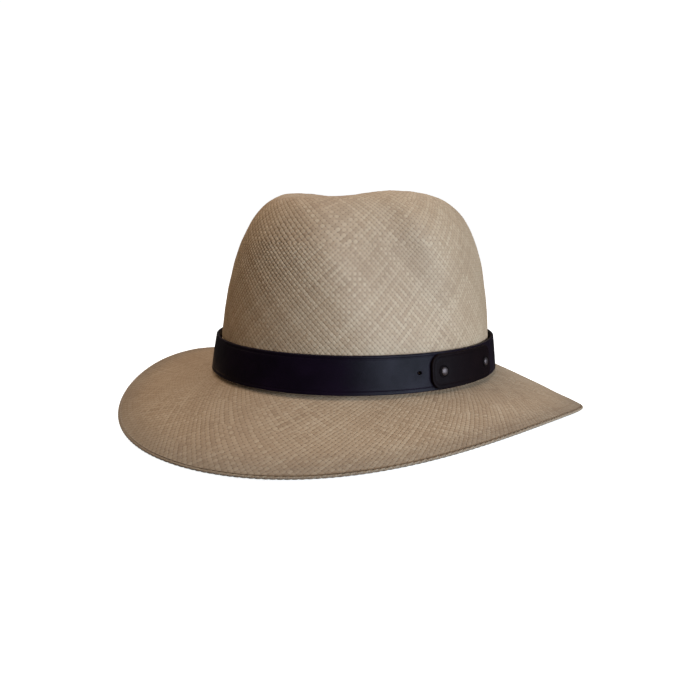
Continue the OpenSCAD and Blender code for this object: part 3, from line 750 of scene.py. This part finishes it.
def hatband():
    """The strap: its section carried round the oval from one end to the other, 1 mm apart under the tab, with
    a slight wave of the leather, and a punched hole 2.2 mm across ahead of the tab."""
    half = (BAND_HIGH - BAND_LOW) / 2
    section = leather_section(half, LEATHER, corner=0.5, line=1.9)
    middle = np.degrees(np.arcsin(TAB_Y / (HALF_LENGTH + BAND_GAP)))
    slit = np.degrees(0.5 / (HALF_LENGTH + BAND_GAP))
    steps, m = 480, len(section)
    a, off = np.meshgrid(np.linspace(middle + slit, middle + 360 - slit, steps), section[:, 0], indexing="ij")
    rise = np.broadcast_to(section[:, 1], a.shape)
    wave = 0.07 * np.sin(np.radians(5 * a + 40)) + 0.05 * np.sin(np.radians(13 * a + 9 * rise))
    points = strap_point(a, off + wave, (BAND_LOW + BAND_HIGH) / 2 + rise)
    ends = [np.arange(m)[None], (np.arange(m)[::-1] + (steps - 1) * m)[None]]
    edge = np.clip((np.abs(section[:, 1]) - half + 0.55) / 0.5, 0, 1)
    piece = put("hatband_leather", points, [swept(steps, m)] + ends, band_finish, "band_leather", "hatband",
                edge=np.tile(edge, steps))
    punch(piece, PUNCH_ANGLE, PUNCH_RADIUS)


def punch(piece, a, radius):
    """Cuts a round hole through a strap piece at angle a, square to its face, at mid height."""
    n, side = strap_normal(a, 0)
    turn = np.radians(np.arange(0, 360, 15))
    ring = radius * (np.cos(turn)[:, None] * side + np.sin(turn)[:, None] * np.cross(n, side))
    middle = strap_point(np.array(a), np.array(LEATHER / 2), np.array(TAB_Z))
    points = np.concatenate([middle + ring - 3 * n, middle + ring + 3 * n]) / 1000
    count = len(turn)
    k = np.arange(count)
    cutter_mesh = bpy.data.meshes.new("cutter")
    sides = np.stack([k, (k + 1) % count, (k + 1) % count + count, k + count], -1).tolist()
    cutter_mesh.from_pydata(points.tolist(), [], sides + [k[::-1].tolist(), (k + count).tolist()])
    cutter = bpy.data.objects.new("cutter", cutter_mesh)
    bpy.context.scene.collection.objects.link(cutter)
    cut = piece.modifiers.new("hole", "BOOLEAN")
    cut.operation = "DIFFERENCE"
    cut.solver = "EXACT"
    cut.object = cutter
    done = bpy.data.meshes.new_from_object(piece.evaluated_get(bpy.context.evaluated_depsgraph_get()))
    piece.modifiers.clear()
    piece.data = done
    bpy.data.objects.remove(cutter)


def tab_ring(inset):
    """Outline of the tab drawn in by inset mm, as (length, height) from its middle: quarter rounds at the
    corners and even points along the sides."""
    reach, rise = TAB_HALF - inset, TAB_RISE - inset
    corner = min(max(TAB_CORNER - inset, 0.0), rise)
    turn = np.radians(np.linspace(0, 90, 10))
    parts = []
    for sx, sz, begin in ((1, 1, 0), (-1, 1, 1), (-1, -1, 2), (1, -1, 3)):
        t = turn + begin * np.pi / 2
        middle = [sx * (reach - corner), sz * (rise - corner)]
        parts.append(middle + corner * np.stack([np.cos(t), np.sin(t)], -1))
    sides = []
    for number, part in enumerate(parts):
        after = parts[(number + 1) % 4][0]
        share = np.linspace(0, 1, 44 if number % 2 == 0 else 10)[1:-1, None]
        sides += [part, part[-1] * (1 - share) + after * share]
    return np.concatenate(sides)


def band_tab():
    """The tab: rings from its back, round its cut edge and in over its face to its middle line, with a
    pressed line 2 mm in from the edge and a shallow seat round each rivet."""
    # (mm in from the outline, mm off the strap)
    rings = [(TAB_RISE, 0.0), (0.4, 0.0), (0.0, 0.3), (0.0, 0.8), (0.0, 1.25), (0.08, 1.5), (0.25, 1.68)]
    rings += [(inset, LEATHER) for inset in (
        0.5, 0.9, 1.3, 1.6, 1.8, 2.0, 2.2, 2.5, 3.0, 3.8, 4.8, 6.0, 7.5, 9.0, 9.8, TAB_RISE)]
    m = len(tab_ring(0))
    long, height = np.concatenate([tab_ring(inset) for inset, _ in rings]).T
    inset, off = np.repeat(rings, m, axis=0).T
    face = off > 1.7
    line = 0.24 * np.exp(-(((inset - 2.0) / 0.38) ** 2)) * face
    seat = sum(0.16 * np.exp(-((np.hypot(long - s * RIVET_Y, height) / 5.2) ** 4)) for s in (-1, 1)) * face
    swell = 0.08 * np.sin(long / 9.0 + 1) * np.cos(height / 7) * face * ease(0.5, 4, inset)
    lift = LEATHER + 0.05 + off - line - seat + swell
    a = np.degrees(np.arcsin((TAB_Y + long) / (HALF_LENGTH + BAND_GAP + LEATHER)))
    edge = np.clip(1 - inset / 0.5, 0, 1) * (off > 0.1)
    put("band_tab_leather", strap_point(a, lift, TAB_Z + height), swept(len(rings), m), tab_finish,
        "tab_leather", "band_tab", edge=edge, merge=0.01)


def rivet_cap(name, side):
    """A cap turned about its axis: a flat rim, a groove, and a dome, on the tab's face. Its edge mark, which
    the finish turns into painted shade, is 1 in the groove and 0.7 on the rim."""
    profile = np.array([(0.0, 0.0), (3.45, 0.0), (3.68, 0.08), (3.75, 0.25), (3.7, 0.42), (3.5, 0.52),
                        (3.2, 0.54), (3.0, 0.46), (2.86, 0.36), (2.72, 0.4), (2.62, 0.55), (2.45, 0.78),
                        (2.15, 1.02), (1.75, 1.22), (1.25, 1.37), (0.7, 1.46), (0.3, 1.49), (0.0, 1.5)])
    r, h = profile[1:-1].T
    groove = np.exp(-(((r - 2.88) / 0.25) ** 2)) * (h > 0.1) + 0.7 * ease(2.9, 3.2, r)
    sides, m = 48, len(r)
    y = TAB_Y + side * RIVET_Y
    a = np.degrees(np.arcsin(y / (HALF_LENGTH + BAND_GAP + LEATHER)))
    n, across = strap_normal(a, 2 * LEATHER)
    foot = strap_point(a, 2 * LEATHER - 0.12, TAB_Z)
    crest = foot + profile[-1, 1] * n
    turn = 2 * np.pi * np.arange(sides) / sides
    ring = np.cos(turn)[:, None, None] * across + np.sin(turn)[:, None, None] * np.cross(n, across)
    points = foot + ring * r[None, :, None] + h[None, :, None] * n
    k = np.arange(sides)
    body = np.concatenate([points.reshape(-1, 3), foot[None], crest[None]])
    bottom = np.stack([(k + 1) % sides * m, k * m, np.full(sides, sides * m)], -1)
    top = np.stack([k * m + m - 1, (k + 1) % sides * m + m - 1, np.full(sides, sides * m + 1)], -1)
    faces = [swept(sides, m, closed_round=True, closed_profile=False), bottom, top]
    put(name + "_metal", body, faces, pewter_finish, "rivet_metal", name,
        edge=np.concatenate([np.tile(groove, sides), [0, 0]]))


# ---- inside the crown


def sweatband():
    """The sweatband: a 1 mm strip that follows the crown's inside, softly waved along its free top edge, with
    its two ends together at the back."""
    z = np.concatenate([
        np.linspace(SWEAT_LOW, SWEAT_LOW + 0.8, 4),
        np.linspace(SWEAT_LOW + 1.6, SWEAT_HIGH - 0.8, 22),
        np.linspace(SWEAT_HIGH - 0.5, SWEAT_HIGH, 3)])
    half, steps = 0.5, 420
    ends = np.clip(np.minimum(z - SWEAT_LOW, SWEAT_HIGH - z) / half, 0, 1)
    thin = half * (1 - np.sqrt(1 - (1 - ends) ** 2))
    inner, outer = np.stack([SWEAT_IN - thin, z], -1), np.stack([SWEAT_OUT + thin, z], -1)
    section = np.concatenate([inner, outer[::-1][1:-1]])
    m = len(section)
    a, inset = np.meshgrid(np.linspace(90.3, 449.7, steps), section[:, 0], indexing="ij")
    z = np.broadcast_to(section[:, 1], a.shape)
    wave = 0.1 * np.sin(np.radians(9 * a)) + 0.08 * np.sin(np.radians(23 * a + 60))
    inset = inset + (wave * ease(14, 36, z) + 0.1) * (inset > SWEAT_OUT + half)
    caps = [np.arange(m)[::-1][None], (np.arange(m) + (steps - 1) * m)[None]]
    edge = np.clip(1 - np.minimum(section[:, 1] - SWEAT_LOW, SWEAT_HIGH - section[:, 1]) / 0.6, 0, 1)
    put("sweatband_leather", wall(a, z, inset), [swept(steps, m)[:, ::-1]] + caps, sweat_finish,
        "sweatband_leather", "sweatband", edge=np.tile(edge, steps))


def sweatband_reed():
    """The reed: a cord 1.6 mm thick bound in tape, its round section carried round at the head line."""
    steps, sides, windings = 720, 12, 170
    a, side = np.meshgrid(np.linspace(0, 360, steps, endpoint=False), np.arange(sides) / sides, indexing="ij")
    turn = 2 * np.pi * side
    out = np.stack([np.cos(np.radians(a)), np.sin(np.radians(a)), 0 * a], -1) * np.cos(turn)[..., None]
    up = np.array([0, 0, 1.0]) * np.sin(turn)[..., None]
    size = 0.77 + 0.03 * np.cos(turn - np.radians(a) * windings)
    points = wall(a, 0 * a, 2.35) + (out + up) * size[..., None]
    put("reed_cord", points, swept(steps, sides, closed_round=True), reed_finish, "reed", "sweatband_reed",
        swept_map(steps, sides, 2 / sides, 0.5))


def stitches(name, node, centres, along, out, length, radius):
    """Stitches, each a short thread of two plies: rings of 6 points whose size follows a half round at both
    ends and swells twice along it, bowed a little off the surface."""
    rings, sides, count = 9, 6, len(centres)
    t = np.linspace(-1, 1, rings)
    turn = 2 * np.pi * np.arange(sides) / sides
    size = radius * np.sqrt(np.clip(1 - t**4, 0.02, 1)) * (1 + 0.12 * np.cos(t * 9))
    bow = 0.12 * (1 - t * t)
    # each array is (stitch, ring, side, coordinate)
    along, out, centres = (v[:, None, None] for v in (along, out, centres))
    ring = np.cos(turn)[:, None] * np.cross(along, out) + np.sin(turn)[:, None] * out
    line = centres + along * (t * length / 2)[:, None, None] + out * bow[:, None, None]
    points = line + ring * size[:, None, None]
    starts = np.arange(count) * rings * sides
    threads = (swept(rings, sides) + starts[:, None, None]).reshape(-1, 4)
    begin = starts[:, None] + np.arange(sides)
    plies = swept_map(rings - 1, sides, 2 / sides, 0.5)
    # the two plies begin again where the thread's round closes
    plies[..., 0] %= 2
    put(name, points, [threads, begin[:, ::-1], begin + (rings - 1) * sides], thread_finish, "thread", node,
        np.tile(plies, (count, 1, 1)))


def sweatband_stitching():
    """96 running stitches in a row 3 mm above the head line."""
    count = 96
    a, z = (np.arange(count) + 0.5) * 360 / count, np.full(count, 3.0)
    inset = SWEAT_IN + 0.18
    here = wall(a, z, inset)
    along = unit(wall(a + 0.5, z, inset) - here)
    out = np.cross(along, np.array([0, 0, 1.0]))
    stitches("sweatband_stitches", "sweatband_stitching", here, along, -out, length=3.2, radius=0.24)


def seam_tape():
    """The tape over the sweatband's ends: a patch 8 degrees wide and 28 mm high, with ribs 1 mm apart across
    it and edges that round off as the root of the distance."""
    cols, rows = 25, 113
    across, high = np.meshgrid(np.linspace(0, 1, cols), np.linspace(0, 1, rows), indexing="ij")
    a, z = BACK - TAPE_HALF_ANGLE + 2 * TAPE_HALF_ANGLE * across, TAPE_LOW + TAPE_HEIGHT * high
    wide = 14
    edge = np.minimum(np.minimum(across, 1 - across) * wide, np.minimum(high, 1 - high) * TAPE_HEIGHT)
    thick = TAPE_THICK * np.clip(edge / 0.4, 0, 1) ** 0.5 + 0.05 * np.cos(z * 2 * np.pi) * np.clip(edge, 0, 1)
    front = wall(a, z, SWEAT_IN + TAPE_GAP + thick)
    back = wall(a, z, np.full_like(z, SWEAT_IN + 0.02))
    quads = swept(cols, rows, closed_profile=False)
    ribs = swept_map(cols - 1, rows - 1, 0.5, 0.3)[..., ::-1]
    grid = np.arange(cols * rows).reshape(cols, rows)
    border = np.concatenate([grid[:, 0], grid[-1, 1:], grid[-2::-1, -1], grid[0, -2:0:-1]])
    after = np.roll(border, -1)
    side = np.stack([border, after, after + grid.size, border + grid.size], -1)
    put("seam_tape_cloth", np.stack([front, back]), [quads[:, ::-1], quads + grid.size, side], tape_finish,
        "seam_tape", "seam_tape", np.concatenate([ribs[:, ::-1], ribs]))


def seam_tape_stitching():
    """14 stitches, 4 mm apart in two columns down the tape."""
    column, beside_seam, spacing = 7, 2.4, 4.0
    a = np.repeat([BACK - beside_seam, BACK + beside_seam], column)
    z = np.tile(TAPE_LOW + TAPE_HEIGHT / 2 + (np.arange(column) - column // 2) * spacing, 2)
    inset = SWEAT_IN + TAPE_GAP + TAPE_THICK + 0.16
    here = wall(a, z, inset)
    along = unit(wall(a, z + 0.5, inset) - here)
    out = unit(np.cross(along, wall(a + 0.5, z, inset) - here))
    stitches("seam_tape_stitches", "seam_tape_stitching", here, along, out, length=2.4, radius=0.2)


straw_crown()
straw_brim()
straw_rim()
hatband()
band_tab()
rivet_cap("front_rivet_cap", -1)
rivet_cap("rear_rivet_cap", 1)
sweatband()
sweatband_reed()
sweatband_stitching()
seam_tape()
seam_tape_stitching()

# Pieces that keep their shape from the frame and get a finish.
for node, finish in (("front_rivet_post", pewter_finish), ("rear_rivet_post", pewter_finish),
                     ("band_tacks", tack_finish)):
    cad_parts[node].data.materials.clear()
    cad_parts[node].data.materials.append(finish)


def studio():
    """A pale floor that turns up into a far wall all round, and even light from above."""
    paint, _ = new_material("pale_studio_paint")
    finish_of(paint, srgb("#ededed"), rough=0.9, Specular_IOR_Level=0.2, Emission_Color=srgb("#ffffff"),
              Emission_Strength=0.9)
    # the floor's profile in metres, from its middle out and up
    reach = np.array([0.4, 1.2, 2.0, 2.4, 2.75, 3.0, 3.15, 3.2, 3.2])
    rise = np.array([0.0, 0.0, 0.0, 0.05, 0.2, 0.45, 0.8, 1.2, 3.0])
    sides, m = 96, len(reach)
    turn = 2 * np.pi * np.arange(sides) / sides
    low = cad_box[0].z - 0.0003
    x, y = np.cos(turn)[:, None] * reach, np.sin(turn)[:, None] * reach
    points = np.stack([x, y, low + rise + 0 * x], -1).reshape(-1, 3)
    k = np.arange(sides)
    quads = swept(sides, m, closed_round=True, closed_profile=False)[:, ::-1]
    fan = np.stack([k * m, (k + 1) % sides * m, np.full(sides, len(points))], -1)
    mesh = bpy.data.meshes.new("floor")
    mesh.from_pydata(points.tolist() + [[0, 0, low]], [], quads.tolist() + fan.tolist())
    mesh.shade_smooth()
    mesh.materials.append(paint)
    floor = bpy.data.objects.new("floor", mesh)
    bpy.context.scene.collection.objects.link(floor)
    floor.visible_diffuse = False
    floor.visible_glossy = False
    world = bpy.data.worlds.new("studio_air")
    world.use_nodes = True
    world.node_tree.nodes["Background"].inputs[0].default_value = srgb("#fff4e6")
    world.node_tree.nodes["Background"].inputs[1].default_value = 0.06
    bpy.context.scene.world = world


studio()
